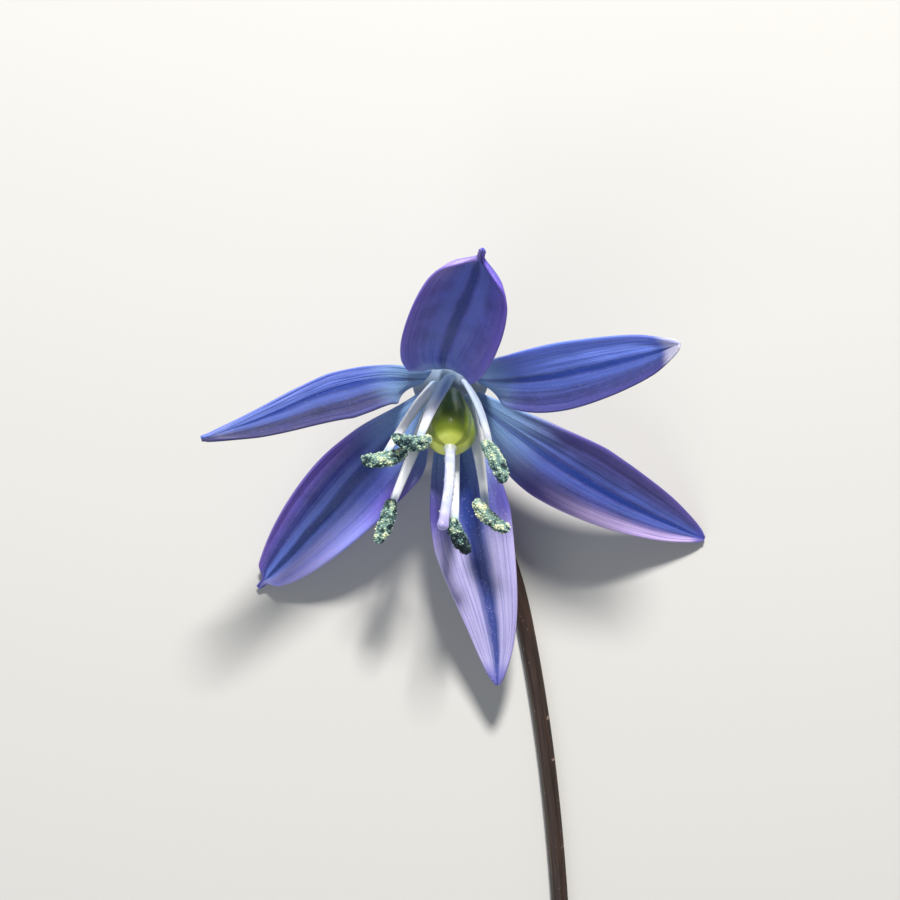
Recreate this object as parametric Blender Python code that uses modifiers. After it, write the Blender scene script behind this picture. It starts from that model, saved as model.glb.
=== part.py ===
# Siberian squill: one picked flower lying face up on its stem.
#
# Lengths are in metres, +Z is up and the surface that the flower rests on is z = 0.
# The origin is on the flat underside of the stem, a little in front of the arch
# that carries the flower. +X is to the right of someone who looks down on the
# flower, and the stem runs away along -Y.

import math
import random

import bmesh
import bpy
import numpy as np
from mathutils import Matrix, Vector

MM = 0.001
OBJECT_NAME = "siberian_squill"

# The receptacle is the end of the stem that everything else grows from. The
# flower looks up and forwards: its axis leans this far from upright to the front.
RECEPTACLE = Vector((-3.3, 9.5, 4.65)) * MM
AXIS_LEAN = math.radians(42.0)
FLOWER_AXIS = Vector((0.0, -math.sin(AXIS_LEAN), math.cos(AXIS_LEAN)))
RING_SIDE = Vector((1.0, 0.0, 0.0))
RING_TOP = Vector((0.0, math.cos(AXIS_LEAN), math.sin(AXIS_LEAN)))
UP = Vector((0.0, 0.0, 1.0))

PETAL_RING = 1.8 * MM
FILAMENT_RING = 0.9 * MM
BLADE_THICKNESS = 0.62 * MM
PETAL_BASE_HALF = 0.64
PETAL_TIP_HALF = 0.24
PETAL_STEPS_ALONG = 20
PETAL_STEPS_ACROSS = 12
TIP_HOOD_START = 0.86
BASE_FLAT = 0.3
BASE_TWIST = 0.24
HOOD_TIGHTENS = 0.5
FOLD_TURNS = 13.0
GROOVE_HALF_WIDTH = 0.16
GROOVE_DEPTH = 0.09
RIM_SHARPNESS = 0.6

STEM_RADIUS = 0.47 * MM
STEM_AXIS_HEIGHT = 0.44 * MM
NECK_LENGTH = 1.0 * MM

# Petals, lengths in millimetres and angles in degrees. turn is the place on the
# ring, tip is measured from the receptacle, arch lifts the middle, sway and curl
# bend it sideways, left and right are the half widths seen from the base, roll
# turns it about its own length at the base and the tip, cup is how far each edge
# turns up in radians, widest is where along it, blunt how full the tip is, nib
# where a small point starts, hood how far the tip bends in and pleat how deep
# the lengthwise folds are.
PETALS = {
    "petal_top": dict(turn=90, tip=(1.7, 6.75, 13.0), arch=2.6, sway=0.35, curl=0.25,
                      left=2.75, right=2.75, roll=(8, -5), cup=(1.0, 1.0), widest=(0.62, 0.62),
                      blunt=2.4, nib=0.94, hood=0.5, pleat=0.05),
    "petal_right": dict(turn=30, tip=(11.7, 2.0, 10.0), arch=1.9, sway=-0.6, curl=-0.1,
                        left=1.9, right=1.9, roll=(8, 4), cup=(0.9, 0.65), widest=(0.52, 0.5),
                        blunt=1.6, nib=1.0, hood=0.7, pleat=0.06),
    "petal_lower_right": dict(turn=-30, tip=(14.2, -8.2, -4.64), arch=2.1, sway=-0.7, curl=-0.1,
                              left=2.45, right=2.25, roll=(32, -10), cup=(0.6, 0.8), widest=(0.44, 0.32),
                              blunt=1.25, nib=1.0, hood=0.3, pleat=0.07),
    "petal_bottom": dict(turn=-90, tip=(2.6, -16.1, -2.0), arch=1.4, sway=0.25, curl=-0.25,
                         left=2.25, right=2.35, roll=(0, 5), cup=(0.45, 0.4), widest=(0.38, 0.47),
                         blunt=1.15, nib=1.0, hood=0.4, pleat=0.05),
    "petal_lower_left": dict(turn=210, tip=(-10.7, -10.9, -4.63), arch=1.7, sway=0.1, curl=-0.05,
                             left=2.7, right=2.25, roll=(-10, 13), cup=(0.5, 0.6), widest=(0.24, 0.42),
                             blunt=1.7, nib=0.97, hood=0.3, pleat=0.16),
    "petal_left": dict(turn=150, tip=(-12.1, -2.6, 9.0), arch=0.65, sway=-0.6, curl=-0.3,
                       left=2.1, right=0.8, roll=(8, 5), cup=(0.8, 0.65), widest=(0.44, 0.45),
                       blunt=0.95, nib=1.0, hood=-0.5, pleat=0.04),
}

# Stamens, in millimetres from the receptacle. middle is the centre of the anther,
# along is the way its length points, hold is how far along it the filament ends,
# from the middle at 0 to an end at 1 or -1, bow pushes the filament's middle outwards
# from the ovary and bend curves the anther like a bean.
STAMENS = {
    "top": dict(turn=90, middle=(-1.9, -2.8, 6.5), along=(0.78, -0.05, 0.62), hold=0.2, bow=0.22, bend=0.35),
    "right": dict(turn=30, middle=(2.32, -3.8, 5.4), along=(0.45, -0.89, 0.0), hold=-0.6, bow=0.25, bend=-0.15),
    "lower_right": dict(turn=-30, middle=(2.1, -6.75, 3.1), along=(0.74, -0.67, 0.0), hold=-0.5, bow=0.3, bend=0.3),
    "bottom": dict(turn=-90, middle=(0.44, -7.75, 3.1), along=(0.38, -0.76, -0.53), hold=-0.5, bow=0.42, bend=0.1),
    "lower_left": dict(turn=210, middle=(-3.38, -7.0, 2.8), along=(0.32, 0.95, 0.0), hold=0.62, bow=0.0, bend=0.1),
    "left": dict(turn=150, middle=(-3.35, -3.65, 5.2), along=(0.97, 0.2, 0.0), hold=0.1, bow=0.1, bend=0.2),
}
ANTHER_HALF_LENGTH = 1.22 * MM
ANTHER_HALF_WIDTH = 0.43 * MM
ANTHER_CRUMB = 0.045 * MM
ANTHER_LOBE_DIP = 0.16
ANTHER_BLUNTNESS = 0.6
FILAMENT_HALF_WIDTHS = (0.33, 0.42, 0.24)
FILAMENT_STEPS_ALONG = 12
FILAMENT_STEPS_ACROSS = 2
FILAMENT_GAP = 0.2 * MM

# The pistil leans a little more than the flower. Its profile pairs are distance
# from the base and radius, in millimetres.
PISTIL_AXIS = Vector((0.0, -0.735, 0.678))
OVARY_LENGTH = 4.25 * MM
OVARY_SEAM_DEPTH = 0.1
STYLE_GAP = 0.22 * MM
OVARY_RADIUS = 1.48 * MM
STYLE_END = Vector((-0.4, -7.25, 6.25)) * MM
STYLE_RADIUS = 0.3 * MM
STIGMA_RADIUS = 0.36 * MM

# The stem's run along the surface: millimetres right of and in front of the
# receptacle. The last point is the plain cut end.
STEM_RUN = ((1.1, -4.6), (3.3, -9.5), (4.5, -14.5), (5.6, -22.0), (6.3, -31.0), (6.4, -41.0), (5.9, -51.0))
ARCH_STEPS = 6


def clear_scene():
    for thing in list(bpy.data.objects):
        bpy.data.objects.remove(thing, do_unlink=True)


def make_material(name, colour, roughness):
    material = bpy.data.materials.new(name)
    material.use_nodes = True
    shader = material.node_tree.nodes["Principled BSDF"]
    shader.inputs["Base Color"].default_value = (*colour, 1.0)
    shader.inputs["Roughness"].default_value = roughness
    shader.inputs["Metallic"].default_value = 0.0
    material.diffuse_color = (*colour, 1.0)
    return material


def add_object(name, mesh, material, collection):
    thing = bpy.data.objects.new(name, mesh)
    collection.objects.link(thing)
    mesh.materials.append(material)
    return thing


def mesh_from(bm, name):
    mesh = bpy.data.meshes.new(name)
    bm.to_mesh(mesh)
    bm.free()
    return mesh


def ring_point(turn, radius):
    angle = math.radians(turn)
    return RECEPTACLE + (RING_SIDE * math.cos(angle) + RING_TOP * math.sin(angle)) * radius


def smooth_step(value):
    value = min(max(value, 0.0), 1.0)
    return value * value * (3.0 - 2.0 * value)


# Petals: a flat grid is moved so that one direction follows the midrib and the
# other follows the cupped cross-section, then it is given its thickness.

def petal_half_width(spec, along, side):
    full = spec["left"] if side > 0 else spec["right"]
    widest = spec["widest"][0 if side > 0 else 1]
    if along < widest:
        rise = math.sin(0.5 * math.pi * along / widest)
        return PETAL_BASE_HALF + (full - PETAL_BASE_HALF) * rise
    fall = 1.0 - ((along - widest) / (1.0 - widest)) ** spec["blunt"]
    width = full * max(fall, 0.0) ** RIM_SHARPNESS
    if spec["nib"] < 1.0:
        toward_nib = smooth_step((along - spec["nib"] + 0.05) / 0.05)
        width = width + (PETAL_TIP_HALF - width) * toward_nib
    return max(width, PETAL_TIP_HALF)


def petal_midrib(spec, along):
    base = ring_point(spec["turn"], PETAL_RING)
    chord = RECEPTACLE + Vector(spec["tip"]) * MM - base
    level = Vector((chord.x, chord.y, 0.0)).normalized()
    sideways = UP.cross(level)
    lift = chord.normalized().cross(sideways)
    rise = spec["arch"] * 4.0 * along * (1.0 - along) * (1.0 - 0.5 * along)
    rise += spec["hood"] * max(along - TIP_HOOD_START, 0.0) ** 2 / (1.0 - TIP_HOOD_START) ** 2
    sway = spec["sway"] * 4.0 * along * (1.0 - along)
    sway += spec["curl"] * math.sin(2.0 * math.pi * along) * along
    return base + chord * along + (lift * rise + sideways * sway) * MM, sideways


def petal_point(spec, along, across):
    middle, sideways = petal_midrib(spec, along)
    step = 0.001
    heading = (petal_midrib(spec, along + step)[0] - petal_midrib(spec, along - step)[0]).normalized()
    flat = (sideways - heading * sideways.dot(heading)).normalized()
    out = heading.cross(flat)
    roll = math.radians(spec["roll"][0] * (1.0 - along) + spec["roll"][1] * along)
    rolled = flat * math.cos(roll) + out * math.sin(roll)
    angle = math.radians(spec["turn"])
    tangent = RING_TOP * math.cos(angle) - RING_SIDE * math.sin(angle)
    tangent = (tangent - heading * tangent.dot(heading)).normalized()
    grown = smooth_step(along / BASE_TWIST)
    toward_edge = (tangent * (1.0 - grown) + rolled * grown).normalized()
    inward = heading.cross(toward_edge)
    turned = spec["cup"][0 if across > 0 else 1] * (1.0 + HOOD_TIGHTENS * smooth_step((along - 0.8) / 0.2))
    turned *= 0.15 + 0.85 * smooth_step(along / BASE_FLAT)
    bend = max(turned * abs(across), 1e-6)
    reach = petal_half_width(spec, along, across) * abs(across) * MM
    folds = math.cos(across * FOLD_TURNS + 2.0 * along) * math.sin(math.pi * along) * abs(across)
    groove = math.exp(-((across / GROOVE_HALF_WIDTH) ** 2)) * math.sin(math.pi * min(along * 1.05, 1.0))
    shift = (folds * spec["pleat"] - groove * GROOVE_DEPTH) * MM
    side = 1.0 if across > 0 else -1.0
    return (middle + toward_edge * (side * reach * math.sin(bend) / bend)
            + inward * (reach * (1.0 - math.cos(bend)) / bend + shift))


def make_blade(name, place, steps_along, steps_across, material, collection):
    bm = bmesh.new()
    bmesh.ops.create_grid(bm, x_segments=steps_along, y_segments=steps_across, size=1.0)
    for vert in bm.verts:
        vert.co = place((vert.co.x + 1.0) * 0.5, vert.co.y)
    bmesh.ops.triangulate(bm, faces=bm.faces)
    blade = add_object(name, mesh_from(bm, name), material, collection)
    thicken = blade.modifiers.new("thickness", 'SOLIDIFY')
    thicken.thickness = BLADE_THICKNESS
    thicken.offset = 0.0
    return blade


def make_petal(name, spec, material, collection):
    def place(along, across):
        return petal_point(spec, along, across)
    return make_blade(name, place, PETAL_STEPS_ALONG, PETAL_STEPS_ACROSS, material, collection)


# Stamens: a flattened filament from the ring to just behind its anther, and an
# anther of two lobes whose surface is broken up by pollen.

def filament_ends(spec):
    start = ring_point(spec["turn"], FILAMENT_RING)
    middle = RECEPTACLE + Vector(spec["middle"]) * MM
    approach = (middle - start).normalized()
    length = Vector(spec["along"]).normalized()
    approach = (approach - length * approach.dot(length)).normalized()
    held = length * (spec["hold"] * ANTHER_HALF_LENGTH)
    end = middle + held - approach * (ANTHER_HALF_WIDTH + FILAMENT_GAP + ANTHER_CRUMB)
    return start, end


def filament_point(spec, along, across):
    start, end = filament_ends(spec)
    half = (start + end) * 0.5 - RECEPTACLE
    outward = (half - PISTIL_AXIS * half.dot(PISTIL_AXIS)).normalized()
    bow = outward * spec["bow"] * MM
    control = (start + end) * 0.5 + bow * 2.0 - (end - start) * 0.12
    centre = start * (1 - along) ** 2 + control * 2 * along * (1 - along) + end * along ** 2
    heading = ((control - start) * (1 - along) + (end - control) * along).normalized()
    sideways = heading.cross(outward).normalized()
    base, middle, tip = FILAMENT_HALF_WIDTHS
    if along < 0.3:
        width = base + (middle - base) * smooth_step(along / 0.3)
    else:
        width = middle + (tip - middle) * (along - 0.3) / 0.7
    return centre + sideways * (across * width * MM)


def make_filament(name, spec, material, collection):
    def place(along, across):
        return filament_point(spec, along, across)
    return make_blade(name, place, FILAMENT_STEPS_ALONG, FILAMENT_STEPS_ACROSS, material, collection)


def make_anther(name, spec, seed, material, collection):
    draw = random.Random(seed)
    length = Vector(spec["along"]).normalized()
    start = filament_ends(spec)[0]
    middle = RECEPTACLE + Vector(spec["middle"]) * MM
    front = (middle - start - length * (middle - start).dot(length)).normalized()
    side = front.cross(length)
    bm = bmesh.new()
    bmesh.ops.create_uvsphere(bm, u_segments=20, v_segments=14, radius=1.0)
    for vert in bm.verts:
        x, y, z = vert.co
        around = math.atan2(y, x)
        ring = math.hypot(x, y) ** ANTHER_BLUNTNESS
        lobes = 1.0 - ANTHER_LOBE_DIP * abs(math.sin(around)) ** 4
        crumb = 1.0 + draw.uniform(-1.0, 1.0) * ANTHER_CRUMB / ANTHER_HALF_WIDTH
        radius = ANTHER_HALF_WIDTH * ring * lobes * crumb
        sag = spec["bend"] * (z * z - 0.4) * MM
        vert.co = (middle + length * (z * ANTHER_HALF_LENGTH)
                   + side * (radius * math.cos(around) + sag) + front * (radius * math.sin(around)))
    return add_object(name, mesh_from(bm, name), material, collection)


# Pistil: a three-lobed ovary shaped like a pear, and a style that starts in its
# hollowed top and ends in a small rounded stigma.

OVARY_PROFILE = ((0.0, 0.32), (0.12, 0.48), (0.3, 0.7), (0.48, 0.9), (0.64, 1.0),
                 (0.75, 0.99), (0.86, 0.88), (0.94, 0.66), (1.0, 0.3))


def ovary_radius(along):
    stations = [pair[0] for pair in OVARY_PROFILE]
    radii = [pair[1] for pair in OVARY_PROFILE]
    return OVARY_RADIUS * float(np.interp(along, stations, radii))


def pistil_frame():
    sideways = RING_SIDE
    over = PISTIL_AXIS.cross(sideways).normalized()
    return sideways, over


def make_ovary(material, collection):
    sideways, over = pistil_frame()
    bm = bmesh.new()
    bmesh.ops.create_uvsphere(bm, u_segments=36, v_segments=18, radius=1.0)
    base = RECEPTACLE + PISTIL_AXIS * (0.1 * MM)
    for vert in bm.verts:
        around = math.atan2(vert.co.y, vert.co.x)
        along = 0.5 + math.asin(max(min(vert.co.z, 1.0), -1.0)) / math.pi
        rim = min(1.0, math.hypot(vert.co.x, vert.co.y) * 6.0)
        body = math.sin(math.pi * min(max(along, 0.0), 1.0))
        lobes = 1.0 - OVARY_SEAM_DEPTH * body * abs(math.sin(1.5 * (around - math.pi / 2.0))) ** 3
        radius = ovary_radius(along) * lobes * rim
        vert.co = (base + PISTIL_AXIS * (along * OVARY_LENGTH)
                   + sideways * (radius * math.cos(around)) + over * (radius * math.sin(around)))
    return add_object("ovary", mesh_from(bm, "ovary"), material, collection)


def make_tube(name, points, radii, thickness, sides_step, steps, material, collection, cut=None):
    curve = bpy.data.curves.new(name, 'CURVE')
    curve.dimensions = '3D'
    curve.bevel_depth = thickness
    curve.bevel_resolution = sides_step
    curve.resolution_u = steps
    curve.use_fill_caps = True
    spline = curve.splines.new('BEZIER')
    spline.bezier_points.add(len(points) - 1)
    for knot, point, radius in zip(spline.bezier_points, points, radii):
        knot.co = point
        knot.radius = radius / thickness
        knot.handle_left_type = 'AUTO'
        knot.handle_right_type = 'AUTO'
    rod = bpy.data.objects.new(name + "_curve", curve)
    collection.objects.link(rod)
    evaluated = rod.evaluated_get(bpy.context.evaluated_depsgraph_get())
    swept = bpy.data.meshes.new_from_object(evaluated)
    bm = bmesh.new()
    bm.from_mesh(swept)
    bmesh.ops.remove_doubles(bm, verts=bm.verts, dist=0.00001)
    if cut is not None:
        parts = bm.verts[:] + bm.edges[:] + bm.faces[:]
        bmesh.ops.bisect_plane(bm, geom=parts, plane_co=cut, plane_no=-UP, clear_outer=True)
        rim = [edge for edge in bm.edges if edge.is_boundary]
        bmesh.ops.contextual_create(bm, geom=rim)
    bmesh.ops.recalc_face_normals(bm, faces=bm.faces)
    mesh = mesh_from(bm, name)
    bpy.data.objects.remove(rod, do_unlink=True)
    bpy.data.curves.remove(curve)
    bpy.data.meshes.remove(swept)
    return add_object(name, mesh, material, collection)


def make_style(material, collection):
    start = RECEPTACLE + PISTIL_AXIS * (OVARY_LENGTH + STYLE_GAP)
    end = RECEPTACLE + STYLE_END
    run = end - start
    bulge = Vector((0.12, -0.05, 0.1)) * MM
    points = (start, start + run * 0.5 + bulge, start + run * 0.86, start + run * 0.93, end)
    radii = (STYLE_RADIUS, STYLE_RADIUS, STYLE_RADIUS, STIGMA_RADIUS, STYLE_RADIUS)
    return make_tube("style", points, radii, STYLE_RADIUS, 2, 4, material, collection)


def stem_path():
    points = [RECEPTACLE - FLOWER_AXIS * (0.5 * MM), RECEPTACLE - FLOWER_AXIS * (0.8 * MM)]
    radii = [2.1 * MM, 1.6 * MM]
    points.append(RECEPTACLE - FLOWER_AXIS * (1.25 * MM))
    radii.append(0.62 * MM)
    start = RECEPTACLE - FLOWER_AXIS * (NECK_LENGTH + 0.8 * MM)
    inward = Vector((0.0, -math.cos(AXIS_LEAN), -math.sin(AXIS_LEAN)))
    radius = (start.z - STEM_AXIS_HEIGHT) / (1.0 + math.sin(AXIS_LEAN))
    centre = start + inward * radius
    turn = math.pi / 2.0 + AXIS_LEAN
    for step in range(ARCH_STEPS + 1):
        angle = turn * step / ARCH_STEPS
        offset = Matrix.Rotation(-angle, 3, 'X') @ (inward * -radius)
        points.append(centre + offset)
        radii.append(STEM_RADIUS)
    for right, front in STEM_RUN:
        points.append(Vector((RECEPTACLE.x + right * MM, RECEPTACLE.y + front * MM, STEM_AXIS_HEIGHT)))
        radii.append(STEM_RADIUS)
    return points, radii


def make_stem(material, collection):
    points, radii = stem_path()
    surface = Vector((0.0, 0.0, 0.0))
    return make_tube("stem", points, radii, STEM_RADIUS, 3, 4, material, collection, cut=surface)


def build():
    clear_scene()
    collection = bpy.data.collections.new(OBJECT_NAME)
    bpy.context.scene.collection.children.link(collection)
    petal_blue = make_material("petal_blue", (0.12, 0.12, 0.44), 0.5)
    filament_white = make_material("filament_white", (0.72, 0.77, 0.86), 0.5)
    pollen_blue = make_material("pollen_blue", (0.16, 0.26, 0.27), 0.8)
    ovary_green = make_material("ovary_green", (0.24, 0.3, 0.03), 0.35)
    style_lilac = make_material("style_lilac", (0.5, 0.55, 0.78), 0.4)
    stem_brown = make_material("stem_brown", (0.06, 0.03, 0.025), 0.5)
    make_stem(stem_brown, collection)
    for name, spec in PETALS.items():
        make_petal(name, spec, petal_blue, collection)
    for seed, (name, spec) in enumerate(STAMENS.items()):
        make_filament("filament_" + name, spec, filament_white, collection)
        make_anther("anther_" + name, spec, seed, pollen_blue, collection)
    make_ovary(ovary_green, collection)
    make_style(style_lilac, collection)


build()
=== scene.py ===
# %% [markdown]
# # A picked siberian squill
# A small blue spring flower lies face up on its cut stem. The plain solids come
# from the frame. Each one is stood in for here by a finer piece of nearly the same
# form, made from the same few measures, and given a finish worked out by nodes.

import math
import random

import bmesh
import bpy
import numpy as np
from mathutils import Matrix, Vector, noise


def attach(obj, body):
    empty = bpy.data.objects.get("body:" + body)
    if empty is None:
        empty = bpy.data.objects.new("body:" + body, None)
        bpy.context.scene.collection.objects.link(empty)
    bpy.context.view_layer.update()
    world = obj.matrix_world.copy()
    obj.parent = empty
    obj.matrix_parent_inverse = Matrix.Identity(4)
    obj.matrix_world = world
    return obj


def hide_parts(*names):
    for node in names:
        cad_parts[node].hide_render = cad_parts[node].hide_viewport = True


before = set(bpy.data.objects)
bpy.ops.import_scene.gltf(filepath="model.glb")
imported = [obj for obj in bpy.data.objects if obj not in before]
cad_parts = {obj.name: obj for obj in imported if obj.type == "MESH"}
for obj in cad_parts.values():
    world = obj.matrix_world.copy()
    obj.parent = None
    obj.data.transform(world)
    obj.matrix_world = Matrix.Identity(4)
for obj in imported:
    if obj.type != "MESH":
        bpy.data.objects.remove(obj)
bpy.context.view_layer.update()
MM = 0.001

# %% [markdown]
# ## Where everything grows from
# All the pieces of a flower meet at the receptacle, the swollen end of the stalk.
# One point and one direction are enough to place a whole flower: the petals and
# the stamens stand on rings round that direction. The numbers are those of the
# solids, so that each fine piece lies where its solid does.

# %% The receptacle and the flower's axis
RECEPTACLE = Vector((-3.3, 9.5, 4.65)) * MM
AXIS_LEAN = math.radians(42.0)
FLOWER_AXIS = Vector((0.0, -math.sin(AXIS_LEAN), math.cos(AXIS_LEAN)))
RING_SIDE = Vector((1.0, 0.0, 0.0))
RING_TOP = Vector((0.0, math.cos(AXIS_LEAN), math.sin(AXIS_LEAN)))
UP = Vector((0.0, 0.0, 1.0))
PETAL_RING = 1.8 * MM
FILAMENT_RING = 0.9 * MM


def ring_point(turn, radius):
    angle = math.radians(turn)
    return RECEPTACLE + (RING_SIDE * math.cos(angle) + RING_TOP * math.sin(angle)) * radius


def smooth_step(value):
    value = min(max(value, 0.0), 1.0)
    return value * value * (3.0 - 2.0 * value)


def add_piece(name, mesh, node, finish):
    piece = bpy.data.objects.new(name, mesh)
    bpy.context.scene.collection.objects.link(piece)
    mesh.materials.append(finish)
    for face in mesh.polygons:
        face.use_smooth = True
    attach(piece, "root")
    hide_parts(node)
    return piece


print("petal bases stand on a ring", round(PETAL_RING * 2 / MM, 1), "mm across")

# %% [markdown]
# ## A shorthand for finishes
# A finish is a small network: coordinates go in at one end, colour, roughness and
# relief come out at the other. Wiring nodes one by one hides the idea, so short
# helpers stand for what is done again and again: a sum, a blend of two colours, a
# curve that turns a distance into a strength, a noise, and a relief.

# %% Helpers for node networks
class Finish:
    def __init__(self, name, roughness=0.5):
        self.material = bpy.data.materials.new(name)
        self.material.use_nodes = True
        self.tree = self.material.node_tree
        self.shader = self.tree.nodes["Principled BSDF"]
        self.shader.inputs["Roughness"].default_value = roughness

    def put(self, socket, value):
        if isinstance(value, bpy.types.NodeSocket):
            self.tree.links.new(value, socket)
        elif isinstance(value, tuple) and len(value) == 3 and socket.type == 'RGBA':
            socket.default_value = (*value, 1.0)
        else:
            socket.default_value = value

    def make(self, kind, inputs=None, output=0, **settings):
        node = self.tree.nodes.new(kind)
        for key, value in settings.items():
            setattr(node, key, value)
        for key, value in (inputs or {}).items():
            self.put(node.inputs[key], value)
        return node.outputs[output]

    def calc(self, operation, first, second=0.0, third=0.0):
        return self.make("ShaderNodeMath", {0: first, 1: second, 2: third}, operation=operation)

    def blend(self, strength, first, second):
        return self.make("ShaderNodeMix", {0: strength, 6: first, 7: second}, output=2, data_type='RGBA')

    def ramp(self, value, start, end, low=0.0, high=1.0):
        return self.make("ShaderNodeMapRange", {0: value, 1: start, 2: end, 3: low, 4: high},
                         interpolation_type='SMOOTHSTEP')

    def place(self):
        return self.make("ShaderNodeTexCoord", output=3)

    def noise(self, where, scale, detail=2.0, rough=0.5):
        return self.make("ShaderNodeTexNoise", {"Vector": where, "Scale": scale, "Detail": detail,
                                                "Roughness": rough})

    def relief(self, height, strength, distance):
        bump = self.make("ShaderNodeBump", {"Strength": strength, "Distance": distance, "Height": height})
        self.tree.links.new(bump, self.shader.inputs["Normal"])

    def set(self, **values):
        for key, value in values.items():
            self.put(self.shader.inputs[key.replace("_", " ")], value)


print("finish helpers ready")

# %% [markdown]
# ## Sheets
# Petals and filaments are both thin sheets. Each starts as a flat grid whose two
# directions, along and across, are kept as coordinates for the finish, and a rule
# then moves every point to its place. Solidify gives the sheet its thickness, and
# a weight at each point lets it thin out where a real one does.

# %% Helpers for sheets
def flat_sheet(steps_along, steps_across):
    bm = bmesh.new()
    bmesh.ops.create_grid(bm, x_segments=steps_along, y_segments=steps_across, size=1.0)
    layer = bm.loops.layers.uv.new("petal")
    for face in bm.faces:
        for loop in face.loops:
            loop[layer].uv = ((loop.vert.co.x + 1.0) * 0.5, (loop.vert.co.y + 1.0) * 0.5)
    return bm


def mesh_of(bm, name):
    mesh = bpy.data.meshes.new(name)
    bm.to_mesh(mesh)
    bm.free()
    return mesh


def give_thickness(piece, weights, thickness, thinnest):
    group = piece.vertex_groups.new(name="fullness")
    for index, weight in enumerate(weights):
        group.add([index], weight, 'REPLACE')
    thicken = piece.modifiers.new("thickness", 'SOLIDIFY')
    thicken.thickness = thickness
    thicken.offset = 0.0
    thicken.vertex_group = "fullness"
    thicken.thickness_vertex_group = thinnest


print("sheet helpers ready")

# %% [markdown]
# ## The petal's skin
# A squill petal is a mixture of blues: a dark blue line along the middle, lighter
# sky blue beside it and at the base, and violet towards the edges. Under a lens
# its skin is a field of tiny round cells, and their glints give it a powdery sparkle,
# which is painted into the colour as pale lilac specks: a painted highlight.
# The colour needs to know where on the petal it is, so each petal carries two
# coordinates, along and across, and all the bands are curves of these two.
# A glow is one such band: a tint, two places across and two places along between
# which it grows to its full strength, and that strength. The glows carry what the
# sun does to each petal, lilac where it falls and sky blue near the middle line.

# %% Petal finish
VEIN_BLUE = (0.008, 0.036, 0.25)
SHOULDER_BLUE = (0.10, 0.17, 0.62)
BASE_SKY = (0.22, 0.38, 0.64)
LIT_LILAC = (0.56, 0.44, 0.78)
SUNLIT_LILAC = (0.50, 0.46, 0.76)
SUNLIT_PINK = (0.86, 0.62, 0.88)
# Pale lilac specks for the glints of the skin's cells: painted highlight.
GLINT_LILAC = (0.62, 0.56, 0.88)
SHEEN_LILAC = (0.72, 0.66, 1.0)
MOTTLE_SHADE = 0.7
STREAKS_ACROSS = 15.0
SKIN_CELL_SCALE = 11000.0
SKIN_RELIEF = 0.05 * MM


def petal_finish(name, body, edge, glows, glint_share, vein_width):
    skin = Finish(name)
    where = skin.place()
    flat = skin.make("ShaderNodeUVMap", uv_map="petal")
    along = skin.make("ShaderNodeSeparateXYZ", {0: flat})
    across = along.node.outputs[1]
    drift = skin.calc('MULTIPLY_ADD', skin.noise(where, 420.0, 3.0), 0.16, -0.08)
    signed = skin.calc('MULTIPLY_ADD', across, 2.0, -1.0)
    off = skin.calc('ABSOLUTE', skin.calc('ADD', signed, drift))

    mottle = skin.noise(where, 900.0, 4.0, 0.6)
    colour = skin.blend(skin.ramp(mottle, 0.35, 0.7), body, tuple(c * MOTTLE_SHADE for c in body))
    colour = skin.blend(skin.ramp(off, 0.45, 1.0, 0.0, 0.85), colour, edge)

    stripes = skin.make("ShaderNodeCombineXYZ", {0: skin.calc('MULTIPLY', along, 1.6),
                                                 1: skin.calc('MULTIPLY', signed, STREAKS_ACROSS), 2: 0.0})
    streak = skin.noise(stripes, 1.0, 3.0, 0.55)
    colour = skin.blend(skin.ramp(streak, 0.5, 0.75, 0.0, 0.3), colour, SHOULDER_BLUE)
    colour = skin.blend(skin.ramp(streak, 0.45, 0.25, 0.0, 0.28), colour, VEIN_BLUE)
    beside = skin.calc('MULTIPLY', skin.ramp(off, 0.1, 0.2), skin.ramp(off, 0.5, 0.22))
    colour = skin.blend(skin.calc('MULTIPLY', beside, 0.5), colour, SHOULDER_BLUE)

    for tint, sides, lengths, strength in glows:
        zone = skin.calc('MULTIPLY', skin.ramp(signed, *sides), skin.ramp(along, *lengths))
        zone = skin.calc('MULTIPLY', zone, skin.ramp(streak, 0.3, 0.55, 0.45, 1.0))
        colour = skin.blend(skin.calc('MULTIPLY', zone, strength), colour, tint)

    near_middle = skin.ramp(off, vein_width, vein_width * 0.3)
    line = skin.calc('MULTIPLY', near_middle, skin.ramp(along, 0.0, 0.2, 0.4, 1.0))
    line = skin.calc('MULTIPLY', line, skin.ramp(along, 1.0, 0.9, 0.5, 0.92))
    colour = skin.blend(line, colour, VEIN_BLUE)
    pale = skin.calc('MULTIPLY', skin.ramp(along, 0.34, 0.08), skin.ramp(off, 0.0, 0.25, 0.35, 1.0))
    colour = skin.blend(skin.calc('MULTIPLY', pale, 0.85), colour, BASE_SKY)

    cells = skin.make("ShaderNodeTexVoronoi", {"Vector": where, "Scale": SKIN_CELL_SCALE})
    # Painted highlight: pale lilac glints on the skin's cells, in patches, each petal with its own share.
    grain = skin.noise(where, 5200.0, 2.0)
    glint = skin.calc('MULTIPLY', skin.ramp(cells, 0.42, 0.12), skin.ramp(grain, 0.5, 0.72))
    colour = skin.blend(skin.calc('MULTIPLY', glint, glint_share), colour, GLINT_LILAC)
    skin.set(Base_Color=colour)
    height = skin.calc('MULTIPLY_ADD', streak, 1.6, skin.calc('MULTIPLY', cells, -0.35))
    skin.relief(height, 0.6, SKIN_RELIEF)
    skin.set(Roughness=skin.ramp(mottle, 0.3, 0.7, 0.34, 0.48))
    skin.set(Subsurface_Weight=0.2, Subsurface_Scale=0.0004, Sheen_Weight=0.12,
             Sheen_Roughness=0.35, Sheen_Tint=SHEEN_LILAC)
    skin.shader.inputs["Subsurface Radius"].default_value = (0.4, 0.4, 1.0)
    return skin.material


print("petal finish ready")

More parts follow.
